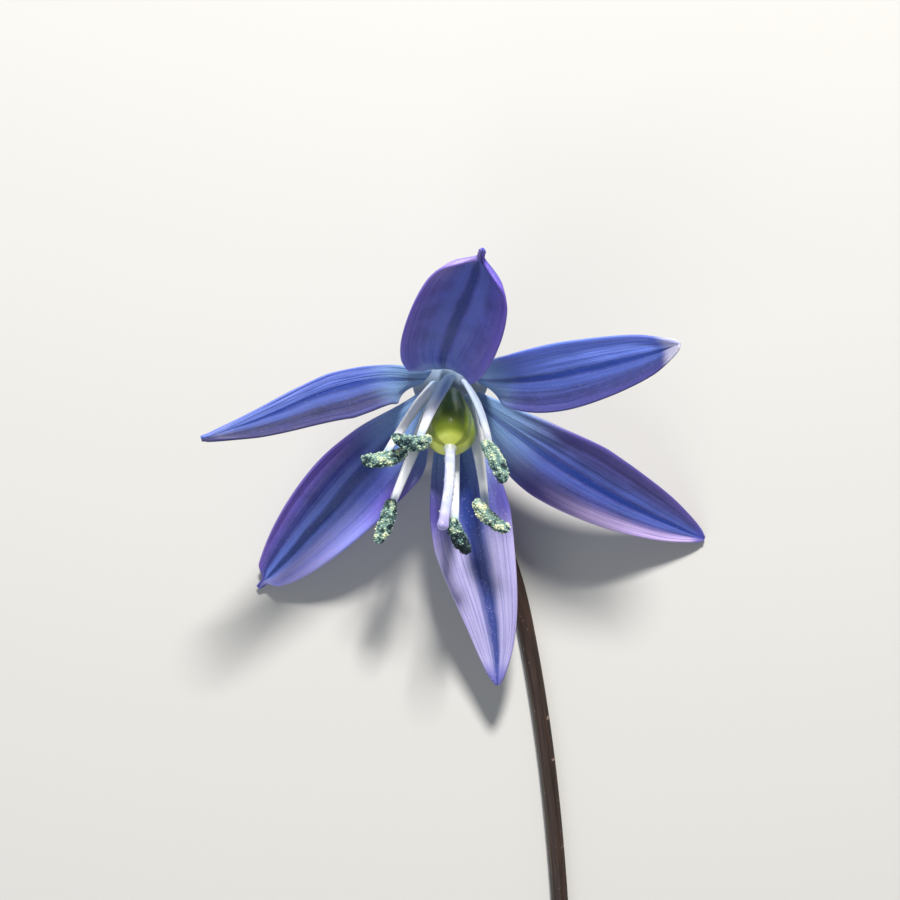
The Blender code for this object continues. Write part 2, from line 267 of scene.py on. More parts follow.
# %% [markdown]
# ## The shape of a petal
# A petal could be drawn once and copied six times, but no two of a real flower's
# are alike: they cup, twist and droop differently. So one rule makes them all from
# a few measures each. The midrib is a line from the ring to the tip, lifted in the
# middle and swayed to one side; the cross-section is an arc whose ends turn up.

# %% The petals' measures
PETALS = {
    "petal_top": dict(turn=90, tip=(1.7, 6.75, 13.0), arch=2.6, sway=0.35, curl=0.25,
                      left=2.75, right=2.75, roll=(8, -5), cup=(1.0, 1.0), widest=(0.62, 0.62),
                      blunt=2.4, nib=0.94, hood=0.5, pleat=0.05),
    "petal_right": dict(turn=30, tip=(11.7, 2.0, 10.0), arch=1.9, sway=-0.6, curl=-0.1,
                        left=1.9, right=1.9, roll=(8, 4), cup=(0.9, 0.65), widest=(0.52, 0.5),
                        blunt=1.6, nib=1.0, hood=0.7, pleat=0.06),
    "petal_lower_right": dict(turn=-30, tip=(14.2, -8.2, -4.64), arch=2.1, sway=-0.7, curl=-0.1,
                              left=2.45, right=2.25, roll=(32, -10), cup=(0.6, 0.8), widest=(0.44, 0.32),
                              blunt=1.25, nib=1.0, hood=0.3, pleat=0.07),
    "petal_bottom": dict(turn=-90, tip=(2.6, -16.1, -2.0), arch=1.4, sway=0.25, curl=-0.25,
                         left=2.25, right=2.35, roll=(0, 5), cup=(0.45, 0.4), widest=(0.38, 0.47),
                         blunt=1.15, nib=1.0, hood=0.4, pleat=0.05),
    "petal_lower_left": dict(turn=210, tip=(-10.7, -10.9, -4.63), arch=1.7, sway=0.1, curl=-0.05,
                             left=2.7, right=2.25, roll=(-10, 13), cup=(0.5, 0.6), widest=(0.24, 0.42),
                             blunt=1.7, nib=0.97, hood=0.3, pleat=0.16),
    "petal_left": dict(turn=150, tip=(-12.1, -2.6, 9.0), arch=0.65, sway=-0.6, curl=-0.3,
                       left=2.1, right=0.8, roll=(8, 5), cup=(0.8, 0.65), widest=(0.44, 0.45),
                       blunt=0.95, nib=1.0, hood=-0.5, pleat=0.04),
}
PETAL_BASE_HALF = 0.64
PETAL_TIP_HALF = 0.13
TIP_HOOD_START = 0.86
BASE_FLAT = 0.3
BASE_TWIST = 0.24
HOOD_TIGHTENS = 0.5
FOLD_TURNS = 13.0
GROOVE_HALF_WIDTH = 0.16
GROOVE_DEPTH = 0.09
RIM_SHARPNESS = 0.6
PETAL_THICKNESS = 0.3 * MM
PETAL_ROOT = -0.02
TIP_THINS = 0.95
PETAL_STEPS_ALONG = 130
PETAL_STEPS_ACROSS = 56
print("petals:", len(PETALS))

# %% [markdown]
# ## The rule for a petal
# The half width rises like a sine to its widest place and falls off by a power, so
# one number makes a tip blunt or sharp. Towards the base the cup fades out and the
# petal turns to lie along the ring, so that six broad petals find room on it.

# %% The rule for a petal
HOOD_CLOSES_FROM = 0.8
NIB_LENGTH = 0.05
SLOPE_STEP = 0.001


def petal_half_width(spec, along, side):
    full = spec["left"] if side > 0 else spec["right"]
    widest = spec["widest"][0 if side > 0 else 1]
    if along < widest:
        rise = math.sin(0.5 * math.pi * along / widest)
        return PETAL_BASE_HALF + (full - PETAL_BASE_HALF) * rise
    fall = 1.0 - ((along - widest) / (1.0 - widest)) ** spec["blunt"]
    width = full * max(fall, 0.0) ** RIM_SHARPNESS
    if spec["nib"] < 1.0:
        toward_nib = smooth_step((along - spec["nib"] + NIB_LENGTH) / NIB_LENGTH)
        width = width + (PETAL_TIP_HALF - width) * toward_nib
    return max(width, PETAL_TIP_HALF)


def petal_midrib(spec, along):
    base = ring_point(spec["turn"], PETAL_RING)
    chord = RECEPTACLE + Vector(spec["tip"]) * MM - base
    level = Vector((chord.x, chord.y, 0.0)).normalized()
    sideways = UP.cross(level)
    lift = chord.normalized().cross(sideways)
    rise = spec["arch"] * 4.0 * along * (1.0 - along) * (1.0 - 0.5 * along)
    rise += spec["hood"] * max(along - TIP_HOOD_START, 0.0) ** 2 / (1.0 - TIP_HOOD_START) ** 2
    sway = spec["sway"] * 4.0 * along * (1.0 - along)
    sway += spec["curl"] * math.sin(2.0 * math.pi * along) * along
    return base + chord * along + (lift * rise + sideways * sway) * MM, sideways


def petal_point(spec, along, across):
    middle, sideways = petal_midrib(spec, along)
    ahead = petal_midrib(spec, along + SLOPE_STEP)[0]
    heading = (ahead - petal_midrib(spec, along - SLOPE_STEP)[0]).normalized()
    flat = (sideways - heading * sideways.dot(heading)).normalized()
    out = heading.cross(flat)
    roll = math.radians(spec["roll"][0] * (1.0 - along) + spec["roll"][1] * along)
    rolled = flat * math.cos(roll) + out * math.sin(roll)
    angle = math.radians(spec["turn"])
    tangent = RING_TOP * math.cos(angle) - RING_SIDE * math.sin(angle)
    tangent = (tangent - heading * tangent.dot(heading)).normalized()
    grown = smooth_step(along / BASE_TWIST)
    toward_edge = (tangent * (1.0 - grown) + rolled * grown).normalized()
    inward = heading.cross(toward_edge)
    hooded = smooth_step((along - HOOD_CLOSES_FROM) / 0.2)
    turned = spec["cup"][0 if across > 0 else 1] * (1.0 + HOOD_TIGHTENS * hooded)
    turned *= 0.15 + 0.85 * smooth_step(along / BASE_FLAT)
    bend = max(turned * abs(across), 1e-6)
    reach = petal_half_width(spec, along, across) * abs(across) * MM
    folds = math.cos(across * FOLD_TURNS + 2.0 * along) * math.sin(math.pi * along) * abs(across)
    groove = math.exp(-((across / GROOVE_HALF_WIDTH) ** 2)) * math.sin(math.pi * min(along * 1.05, 1.0))
    shift = (folds * spec["pleat"] - groove * GROOVE_DEPTH) * MM
    side = 1.0 if across > 0 else -1.0
    return (middle + toward_edge * (side * reach * math.sin(bend) / bend)
            + inward * (reach * (1.0 - math.cos(bend)) / bend + shift)), inward


print("a petal's tip is", round(PETAL_TIP_HALF * 2.0, 2), "mm wide")

# %% [markdown]
# ## Making the petals
# The rule is read on a fine grid. Between the large folds the real surface has
# finer ones, a rib for each vein and a faint unevenness, and these are added as
# small moves along the surface's own direction. The sheet is thinner at the rim and
# at the tip, as a real petal is.

# %% Make a petal
RIB_TURNS = 34.0
RIB_WANDER = 5.0
RIB_HEIGHT = 0.012
ROUGH_SPACING = (9.0, 3.0, 7.3)
ROUGH_HEIGHT = 0.07
PETAL_RIM_SHARE = 0.35


def make_petal(name, spec, seed, finish):
    bm = flat_sheet(PETAL_STEPS_ALONG, PETAL_STEPS_ACROSS)
    weights = []
    for vert in bm.verts:
        along = PETAL_ROOT + (1.0 - PETAL_ROOT) * (vert.co.x + 1.0) * 0.5
        across = vert.co.y
        rim = max(abs(across), smooth_step((along - TIP_THINS) / (1.0 - TIP_THINS)))
        weights.append(1.0 - rim ** 4)
        point, inward = petal_point(spec, along, across)
        fade = math.sin(math.pi * min(along + 0.02, 1.0))
        ribs = math.cos(across * RIB_TURNS + math.sin(along * RIB_WANDER + seed)) * RIB_HEIGHT
        spot = Vector((along * ROUGH_SPACING[0], across * ROUGH_SPACING[1], seed * ROUGH_SPACING[2]))
        rough = noise.noise(spot) * ROUGH_HEIGHT
        vert.co = point + inward * ((ribs + rough) * fade * MM)
    piece = add_piece(name, mesh_of(bm, name), name.replace("_skin", ""), finish)
    give_thickness(piece, weights, PETAL_THICKNESS, PETAL_RIM_SHARE)
    return piece


print("petal sheets:", PETAL_STEPS_ALONG, "by", PETAL_STEPS_ACROSS, "steps")

# %% [markdown]
# ## The petals' colours
# The lowest petal and the lower edges beside it are sunlit and pale, and the upper
# petals turn their faces away and stay deep blue. Each petal has its own body and
# edge colour, and these differ in lightness with the shade each petal lies in, which
# is painted shade: the left and right petals are painted darkest. Each also has its
# own glows, its own share of painted glints and its own width of vein.

# %% Colours, and the petals themselves
# Sky blue painted where light catches a petal near its middle line: painted highlight.
SUNLIT_SKY_BLUE = (0.18, 0.28, 0.90)
TIP_BLUE = (0.07, 0.075, 0.42)
# The right petal's tip: its whitish papillae, painted brighter with their glints as a painted highlight.
PAPILLA_GLINT_WHITE = (0.74, 0.72, 0.90)
WHOLE_WIDTH = (-2.0, -1.0)
# Body and edge colours are the petals' blue with painted shade in them, darkest on the left and right petals;
# the glows are painted light.
PETAL_TINTS = {
    "petal_top": dict(
        body=(0.098, 0.108, 0.53), edge=(0.16, 0.10, 0.55), glint_share=0.15, vein_width=0.15,
        glows=[(LIT_LILAC, (0.3, 0.9), (0.72, 0.95), 0.55),
               (SUNLIT_SKY_BLUE, (-0.05, -0.5), (0.6, 0.2), 0.3),
               (SUNLIT_SKY_BLUE, (0.05, 0.4), (0.6, 0.15), 0.4)]),
    "petal_right": dict(
        body=(0.045, 0.058, 0.22), edge=(0.06, 0.055, 0.24), glint_share=0.2, vein_width=0.16,
        glows=[(SUNLIT_SKY_BLUE, (-0.1, 0.3), (0.1, 0.5), 0.95),
               (PAPILLA_GLINT_WHITE, WHOLE_WIDTH, (0.9, 0.96), 0.85)]),
    "petal_lower_right": dict(
        body=(0.065, 0.068, 0.27), edge=(0.12, 0.085, 0.35), glint_share=0.15, vein_width=0.16,
        glows=[(LIT_LILAC, (-0.45, -0.75), (0.3, 0.55), 0.95),
               (TIP_BLUE, WHOLE_WIDTH, (0.93, 0.98), 0.8)]),
    "petal_bottom": dict(
        body=(0.10, 0.115, 0.38), edge=(0.10, 0.07, 0.34), glint_share=0.65, vein_width=0.38,
        glows=[(SUNLIT_LILAC, WHOLE_WIDTH, (0.36, 0.52), 0.9),
               (TIP_BLUE, WHOLE_WIDTH, (0.9, 0.98), 0.85)]),
    "petal_lower_left": dict(
        body=(0.068, 0.08, 0.40), edge=(0.20, 0.12, 0.50), glint_share=0.3, vein_width=0.2,
        glows=[(SUNLIT_PINK, (0.12, 0.42), (0.40, 0.70), 0.9),
               (SUNLIT_SKY_BLUE, (-0.5, -0.15), (0.3, 0.6), 0.75),
               (TIP_BLUE, WHOLE_WIDTH, (0.94, 0.99), 0.8)]),
    "petal_left": dict(
        body=(0.030, 0.034, 0.12), edge=(0.045, 0.040, 0.15), glint_share=0.2, vein_width=0.22,
        glows=[(SUNLIT_SKY_BLUE, (0.05, -0.4), (0.05, 0.3), 0.6)]),
}
for seed, (name, spec) in enumerate(PETALS.items()):
    finish = petal_finish(name + "_colour", **PETAL_TINTS[name])
    piece = make_petal(name + "_skin", spec, seed, finish)
    print(piece.name, len(piece.data.polygons), "faces before thickening")

# %% [markdown]
# ## Stamens
# Each stamen is a white, flattened stalk that narrows to its tip, with an anther
# on it: two lobes side by side that have burst and are crusted with pollen. The
# crust could be painted, but from close by its crumbs stand up in the light, so it
# is made of real crumbs, scattered by a seeded draw over a lobed core. Each anther
# has painted light: a lightness for how brightly it is lit, and a side towards the
# light on which it is painted paler.

# %% The stamens' measures
# light and pale are painted light: how brightly each anther is lit, and the side on which it is painted
# paler.
STAMENS = {
    "top": dict(turn=90, middle=(-1.9, -2.8, 6.5), along=(0.78, -0.05, 0.62),
                hold=0.2, bow=0.22, bend=0.35, light=0.5, pale=(0.8, 0.6, 0.0)),
    "right": dict(turn=30, middle=(2.32, -3.8, 5.4), along=(0.45, -0.89, 0.0),
                  hold=-0.6, bow=0.25, bend=-0.15, light=0.5, pale=(0.0, 0.5, 0.8)),
    "lower_right": dict(turn=-30, middle=(2.1, -6.75, 3.1), along=(0.74, -0.67, 0.0),
                        hold=-0.5, bow=0.3, bend=0.3, light=0.7, pale=(-0.3, 0.4, 0.5)),
    "bottom": dict(turn=-90, middle=(0.44, -7.75, 3.1), along=(0.38, -0.76, -0.53),
                   hold=-0.5, bow=0.42, bend=0.1, light=0.25, pale=(-0.6, 1.1, 0.2)),
    "lower_left": dict(turn=210, middle=(-3.38, -7.0, 2.8), along=(0.32, 0.95, 0.0),
                       hold=0.62, bow=0.0, bend=0.1, light=0.45, pale=(-0.9, 0.0, 0.3)),
    "left": dict(turn=150, middle=(-3.35, -3.65, 5.2), along=(0.97, 0.2, 0.0),
                 hold=0.1, bow=0.1, bend=0.2, light=0.5, pale=(0.2, 0.9, 0.4), lean=1.0),
}
PISTIL_AXIS = Vector((0.0, -0.735, 0.678))
ANTHER_HALF_LENGTH = 1.22 * MM
ANTHER_HALF_WIDTH = 0.43 * MM
FILAMENT_HALF_WIDTHS = (0.36, 0.44, 0.2)
FILAMENT_THICKNESS = 0.3 * MM
print("stamens:", len(STAMENS))

# %% [markdown]
# ## Filaments
# A filament is a bent ribbon that leaves the ring, bows outward round the ovary and
# meets its anther from behind. It is widest low down. Where a petal shades it, it
# takes the blue or grey of its surroundings, so each one has its own shaded stretch.
# The left one's flat face is turned further up, by its lean.

# %% Filaments
FILAMENT_WIDEST_AT = 0.3
FILAMENT_CAMBER = 0.05
FILAMENT_STEPS_ALONG = 48
FILAMENT_STEPS_ACROSS = 10
FILAMENT_RIM_SHARE = 0.3
FILAMENT_STOPS = 0.8
BOW_TOWARD_RING = 0.12
SHADED_SKY = (0.40, 0.55, 0.80)
SHADED_GREY = (0.36, 0.44, 0.60)
FILAMENT_DIM = (0.78, 0.82, 0.90)
FILAMENT_BRIGHT = (0.88, 0.90, 0.94)
FILAMENT_TIP_BLUE = (0.25, 0.36, 0.55)
FILAMENT_SHADES = {
    "top": (SHADED_SKY, 0.62),
    "right": (SHADED_GREY, 0.85),
    "lower_right": (SHADED_SKY, 0.2),
    "bottom": (SHADED_SKY, 0.5),
    "lower_left": (SHADED_SKY, 0.3),
    "left": (SHADED_SKY, 0.2),
}


def filament_ends(spec):
    start = ring_point(spec["turn"], FILAMENT_RING)
    middle = RECEPTACLE + Vector(spec["middle"]) * MM
    approach = (middle - start).normalized()
    length = Vector(spec["along"]).normalized()
    approach = (approach - length * approach.dot(length)).normalized()
    held = length * (spec["hold"] * ANTHER_HALF_LENGTH)
    return start, middle + held - approach * (ANTHER_HALF_WIDTH * FILAMENT_STOPS), middle, approach, length


def filament_point(spec, along, across):
    start, end = filament_ends(spec)[:2]
    half = (start + end) * 0.5 - RECEPTACLE
    outward = (half - PISTIL_AXIS * half.dot(PISTIL_AXIS)).normalized()
    bowed = (start + end) * 0.5 + outward * (spec["bow"] * 2.0 * MM)
    control = bowed - (end - start) * BOW_TOWARD_RING
    centre = start * (1 - along) ** 2 + control * 2 * along * (1 - along) + end * along ** 2
    heading = ((control - start) * (1 - along) + (end - control) * along).normalized()
    facing = outward + Vector((0.0, 0.0, spec.get("lean", 0.0)))
    sideways = heading.cross(facing).normalized()
    base, widest, tip = FILAMENT_HALF_WIDTHS
    if along < FILAMENT_WIDEST_AT:
        width = base + (widest - base) * smooth_step(along / FILAMENT_WIDEST_AT)
    else:
        width = widest + (tip - widest) * (along - FILAMENT_WIDEST_AT) / (1.0 - FILAMENT_WIDEST_AT)
    out = sideways.cross(heading)
    camber = (1.0 - across * across) * FILAMENT_CAMBER
    return centre + sideways * (across * width * MM) + out * (camber * MM)


def filament_finish(name, shaded, reach):
    stalk = Finish(name, 0.4)
    where = stalk.place()
    flat = stalk.make("ShaderNodeUVMap", uv_map="petal")
    along = stalk.make("ShaderNodeSeparateXYZ", {0: flat})
    soft = stalk.noise(where, 1500.0, 3.0)
    colour = stalk.blend(stalk.ramp(soft, 0.35, 0.65), FILAMENT_DIM, FILAMENT_BRIGHT)
    colour = stalk.blend(stalk.ramp(along, reach, reach - 0.2, 0.0, 0.85), colour, shaded)
    colour = stalk.blend(stalk.ramp(along, 0.86, 1.0, 0.0, 0.8), colour, FILAMENT_TIP_BLUE)
    stalk.set(Base_Color=colour, Subsurface_Weight=0.6, Subsurface_Scale=0.0006)
    stalk.shader.inputs["Subsurface Radius"].default_value = (1.0, 1.0, 1.0)
    stalk.relief(stalk.noise(where, 7000.0, 2.0), 0.25, 0.00003)
    return stalk.material


def make_filament(name, spec, finish):
    bm = flat_sheet(FILAMENT_STEPS_ALONG, FILAMENT_STEPS_ACROSS)
    weights = []
    for vert in bm.verts:
        across = vert.co.y
        weights.append(math.sqrt(max(1.0 - across * across, 0.0)))
        vert.co = filament_point(spec, (vert.co.x + 1.0) * 0.5, across)
    piece = add_piece(name, mesh_of(bm, name), name.replace("_stalk", ""), finish)
    give_thickness(piece, weights, FILAMENT_THICKNESS, FILAMENT_RIM_SHARE)
    return piece


for name, spec in STAMENS.items():
    finish = filament_finish("filament_" + name + "_colour", *FILAMENT_SHADES[name])
    piece = make_filament("filament_" + name + "_stalk", spec, finish)
    print(piece.name, len(piece.data.polygons), "faces")

# %% [markdown]
# ## Pollen
# Fresh squill pollen is slate blue, and it dries paler and greener, so every crumb
# has its own small random spread of shade. Most of the shade is painted light: the
# anther's lightness and lit side, paler tops and darker hollows of the lumps, and a
# core kept darker as painted shade in the gaps between crumbs. The shade is stored
# with the mesh, one value for each crumb and each point of the core, and the finish
# turns it into a colour: nearly black at the low end, which is painted shade, then
# slate, green and cream.

# %% Anthers with their crumbs
POLLEN_GAP_SHADE = (0.010, 0.028, 0.036)
POLLEN_SLATE = (0.16, 0.29, 0.27)
POLLEN_GREEN = (0.50, 0.62, 0.44)
POLLEN_CREAM = (0.84, 0.84, 0.55)
CRUMBS = 520
CRUMB_SIZES = (0.022, 0.075, 0.04)
CRUMB_REACH = 0.98
CRUMB_DEPTHS = (-0.4, 0.45)
CRUMB_UNEVEN = (0.75, 1.25)
CRUMB_TONE_SPREAD = 0.2
ANTHER_SIDES = 44
ANTHER_RINGS = 34
ANTHER_BLUNTNESS = 0.3
ANTHER_GROOVE = 0.2
ANTHER_CORE = 0.9
BEND_BALANCE = 0.4
LUMP_SPACING = 0.36
LUMP_HEIGHT = 0.16
# Painted light and shade on the pollen: lump tops paler, hollows darker, and the core darker than the crumbs
# as painted shade in the gaps.
LUMP_LIGHT_AND_SHADE = 0.75
LIT_SIDE_TONE = 0.35
CORE_GAP_SHADE = 0.3
ANTHER_SEED = 10


def pollen_finish():
    dust = Finish("pollen_colour", 0.85)
    shade = dust.make("ShaderNodeAttribute", output=2, attribute_name="shade")
    # The nearly black low end is painted shade in the gaps between crumbs.
    colour = dust.blend(dust.ramp(shade, 0.0, 0.4), POLLEN_GAP_SHADE, POLLEN_SLATE)
    colour = dust.blend(dust.ramp(shade, 0.4, 0.7), colour, POLLEN_GREEN)
    colour = dust.blend(dust.ramp(shade, 0.72, 1.0), colour, POLLEN_CREAM)
    dust.set(Base_Color=colour)
    dust.relief(dust.noise(dust.place(), 9000.0, 2.0), 0.4, 0.00003)
    return dust.material


def anther_radius(along, around, place):
    ring = max(1.0 - along * along, 0.0) ** ANTHER_BLUNTNESS
    lobes = 1.0 - ANTHER_GROOVE * abs(math.sin(around)) ** 4
    lump = noise.noise(place / MM / LUMP_SPACING)
    return ANTHER_HALF_WIDTH * ring * lobes * (ANTHER_CORE + LUMP_HEIGHT * lump), lump


def make_anther(name, spec, seed, finish):
    draw = random.Random(seed)
    middle, front, length = filament_ends(spec)[2:]
    side = front.cross(length)
    lit_side = Vector(spec["pale"])

    def at(along, around, radius):
        sag = spec["bend"] * (along * along - BEND_BALANCE) * MM
        return (middle + length * (along * ANTHER_HALF_LENGTH)
                + side * (radius * math.cos(around) + sag) + front * (radius * math.sin(around)))

    # The tone is painted light: the anther's lightness, paler on its lit side and on lump tops, darker in the
    # hollows.
    def tone_at(point, lump):
        turned = (point - middle).dot(lit_side) / ANTHER_HALF_LENGTH
        return spec["light"] + lump * LUMP_LIGHT_AND_SHADE + turned * LIT_SIDE_TONE

    bm = bmesh.new()
    shade = bm.verts.layers.float.new("shade")
    bmesh.ops.create_uvsphere(bm, u_segments=ANTHER_SIDES, v_segments=ANTHER_RINGS, radius=1.0)
    for vert in bm.verts:
        x, y, z = vert.co
        around = math.atan2(y, x)
        rough = at(z, around, ANTHER_HALF_WIDTH)
        radius, lump = anther_radius(z, around, rough)
        vert.co = at(z, around, radius if abs(z) < 0.999 else 0.0)
        # The core is darker than the crumbs: painted shade in the gaps between them.
        vert[shade] = min(max(tone_at(vert.co, lump) - CORE_GAP_SHADE, 0.0), 1.0)
    for _ in range(CRUMBS):
        along = draw.uniform(-CRUMB_REACH, CRUMB_REACH)
        around = draw.uniform(0.0, 2.0 * math.pi)
        size = draw.triangular(*CRUMB_SIZES) * MM
        radius, lump = anther_radius(along, around, at(along, around, ANTHER_HALF_WIDTH))
        centre = at(along, around, radius + size * draw.uniform(*CRUMB_DEPTHS))
        spread = draw.uniform(-CRUMB_TONE_SPREAD, CRUMB_TONE_SPREAD)
        tone = min(max(tone_at(centre, lump) + spread, 0.0), 1.0)
        made = bmesh.ops.create_icosphere(bm, subdivisions=1, radius=size)
        for vert in made["verts"]:
            vert.co = centre + vert.co * draw.uniform(*CRUMB_UNEVEN)
            vert[shade] = tone
    return add_piece(name, mesh_of(bm, name), name.replace("_crust", ""), finish)


pollen_blue = pollen_finish()
for seed, (name, spec) in enumerate(STAMENS.items()):
    piece = make_anther("anther_" + name + "_crust", spec, ANTHER_SEED + seed, pollen_blue)
    print(piece.name, len(piece.data.polygons), "faces")

# %% [markdown]
# ## The pistil
# In the middle sits the ovary, a green pear of three joined chambers with a seam
# between each two, and on it the style, a waxy pale stalk with a small sticky
# stigma. A lathe would give the pear but not the chambers, so the radius also
# depends on the angle: it dips at three seams.

# %% Ovary
OVARY_LENGTH = 4.25 * MM
OVARY_RADIUS = 1.48 * MM
OVARY_PROFILE = ((0.0, 0.32), (0.12, 0.48), (0.3, 0.7), (0.48, 0.9), (0.64, 1.0),
                 (0.75, 0.96), (0.86, 0.8), (0.94, 0.56), (1.0, 0.28))
OVARY_LIFT = 0.1 * MM
OVARY_SIDES = 120
OVARY_RINGS = 80
PROFILE_BLUR = 0.05
POLE_CLOSES = 6.0
LOBE_TURNS = 1.5
LOBE_DEPTH = 0.1
SEAM_DEPTH = 0.035
SEAM_FROM = 0.96
OVARY_DEEP = (0.13, 0.19, 0.008)
OVARY_GREEN = (0.20, 0.28, 0.014)
OVARY_SHOULDER = (0.30, 0.40, 0.02)
# A yellow patch at the style end, where the light falls: painted highlight.
OVARY_HIGHLIGHT = (0.76, 0.84, 0.14)
OVARY_FOOT = (0.10, 0.16, 0.012)
OVARY_SEAM = (0.1, 0.16, 0.02)


def pear_radius(along):
    stations = np.array([pair[0] for pair in OVARY_PROFILE])
    radii = np.array([pair[1] for pair in OVARY_PROFILE])
    near = np.linspace(-PROFILE_BLUR, PROFILE_BLUR, 7) + along
    return OVARY_RADIUS * float(np.mean(np.interp(near, stations, radii)))


def ovary_finish():
    skin = Finish("ovary_colour", 0.3)
    where = skin.place()
    flat = skin.make("ShaderNodeUVMap", uv_map="petal")
    parts = skin.make("ShaderNodeSeparateXYZ", {0: flat})
    seam = parts.node.outputs[1]
    mottle = skin.noise(where, 1300.0, 4.0, 0.6)
    colour = skin.blend(skin.ramp(mottle, 0.35, 0.68), OVARY_DEEP, OVARY_GREEN)
    # Towards the style end the ovary is paler, and at the end is a painted highlight, a yellow patch where
    # the light falls.
    colour = skin.blend(skin.ramp(parts, 0.66, 0.86), colour, OVARY_SHOULDER)
    colour = skin.blend(skin.ramp(parts, 0.86, 0.95), colour, OVARY_HIGHLIGHT)
    colour = skin.blend(skin.ramp(parts, 0.5, 0.05, 0.0, 0.8), colour, OVARY_FOOT)
    colour = skin.blend(skin.ramp(seam, 0.12, 0.0, 0.0, 0.6), colour, OVARY_SEAM)
    skin.set(Base_Color=colour, Coat_Weight=0.3, Coat_Roughness=0.2, Subsurface_Weight=0.2,
             Subsurface_Scale=0.0005)
    skin.relief(skin.noise(where, 5200.0, 3.0), 0.25, 0.00004)
    return skin.material


def ovary_place(vert):
    x, y, z = vert.co
    along = 0.5 + math.asin(max(min(z, 1.0), -1.0)) / math.pi
    around = math.atan2(y, x)
    wave = abs(math.sin(LOBE_TURNS * (around - math.pi / 2.0)))
    return along, around, wave


def make_ovary(finish):
    sideways = RING_SIDE
    over = PISTIL_AXIS.cross(sideways).normalized()
    base = RECEPTACLE + PISTIL_AXIS * OVARY_LIFT
    bm = bmesh.new()
    bmesh.ops.create_uvsphere(bm, u_segments=OVARY_SIDES, v_segments=OVARY_RINGS, radius=1.0)
    layer = bm.loops.layers.uv.new("petal")
    for face in bm.faces:
        for loop in face.loops:
            along, around, wave = ovary_place(loop.vert)
            loop[layer].uv = (along, 1.0 - wave)
    for vert in bm.verts:
        along, around, wave = ovary_place(vert)
        rim = min(1.0, math.hypot(vert.co.x, vert.co.y) * POLE_CLOSES)
        body = math.sin(math.pi * min(max(along, 0.0), 1.0))
        seam = max(0.0, wave - SEAM_FROM) / (1.0 - SEAM_FROM)
        lobes = 1.0 - LOBE_DEPTH * body * wave ** 3 - SEAM_DEPTH * body * seam
        radius = pear_radius(along) * lobes * rim
        vert.co = (base + PISTIL_AXIS * (along * OVARY_LENGTH)
                   + sideways * (radius * math.cos(around)) + over * (radius * math.sin(around)))
    return add_piece("ovary_pear", mesh_of(bm, "ovary_pear"), "ovary", finish)


piece = make_ovary(ovary_finish())
print(piece.name, len(piece.data.polygons), "faces")

# %% [markdown]
# ## Stalks swept along a line
# The style and the stem are both round stalks that change in girth and carry fine
# ribs. A curve with a round bevel can't have ribs, so rings of points are set along
# a smooth path and bridged, and the radius is free to vary with the angle and the
# distance.

# %% A sweep with ribs
def smooth_path(knots, steps):
    out = []
    count = len(knots)
    for index in range(count - 1):
        before = knots[max(index - 1, 0)]
        a, b = knots[index], knots[index + 1]
        after = knots[min(index + 2, count - 1)]
        for step in range(steps):
            t = step / steps
            out.append((a * 2.0 + (b - before) * t + (before * 2.0 - a * 5.0 + b * 4.0 - after) * t * t
                        + (a * 3.0 - before - b * 3.0 + after) * t ** 3) * 0.5)
    out.append(knots[-1].copy())
    return out


def sweep(name, path, radius_at, sides):
    bm = bmesh.new()
    layer = bm.loops.layers.uv.new("petal")
    rings = []
    side = Vector((1.0, 0.0, 0.0))
    distance = 0.0
    spots = {}
    for index, point in enumerate(path):
        ahead = path[min(index + 1, len(path) - 1)] - path[max(index - 1, 0)]
        ahead.normalize()
        side = (side - ahead * side.dot(ahead)).normalized()
        over = ahead.cross(side)
        if index:
            distance += (point - path[index - 1]).length
        ring = []
        for step in range(sides):
            angle = 2.0 * math.pi * step / sides
            radius = radius_at(index, distance, angle)
            vert = bm.verts.new(point + (side * math.cos(angle) + over * math.sin(angle)) * radius)
            spots[vert] = (distance / MM * 0.01, step / sides)
            ring.append(vert)
        rings.append(ring)
    for lower, upper in zip(rings, rings[1:]):
        for step in range(sides):
            after = (step + 1) % sides
            bm.faces.new((lower[step], lower[after], upper[after], upper[step]))
    bm.faces.new(list(reversed(rings[0])))
    bm.faces.new(rings[-1])
    for face in bm.faces:
        for loop in face.loops:
            loop[layer].uv = spots[loop.vert]
    return mesh_of(bm, name)


print("sweep ready")

# %% [markdown]
# ## The style
# The style is a nearly straight waxy stalk that ends in a small knob. A few grains
# of pollen have caught on it. They carry no coordinates of their own, so the finish
# reads them as the stalk's very start and gives them its yellow-green.

# %% Style and stigma
STYLE_END = Vector((-0.4, -7.25, 6.25)) * MM
STYLE_RADIUS = 0.27 * MM
STIGMA_RADIUS = 0.31 * MM
STYLE_STEPS = 16
STYLE_SIDES = 32
STYLE_LIFT = 0.02 * MM
STYLE_BULGE = Vector((0.12, -0.05, 0.1)) * MM
STYLE_RIBS = 3.0
STYLE_RIB_HEIGHT = 0.008 * MM
STYLE_COLLAR = 0.1 * MM
COLLAR_ENDS = 0.08
KNOB_AT = 0.94
KNOB_SPREAD = 0.05
STYLE_CLOSES_FROM = 0.95
STYLE_CLOSES_OVER = 0.052
STYLE_BLUE = (0.46, 0.50, 0.78)
STYLE_LILAC = (0.68, 0.70, 0.9)
STYLE_FOOT = (0.55, 0.62, 0.35)
STIGMA_VIOLET = (0.30, 0.24, 0.62)
STYLE_GRAINS = 30
GRAIN_SIZES = (0.05, 0.085)
GRAIN_SEED = 77


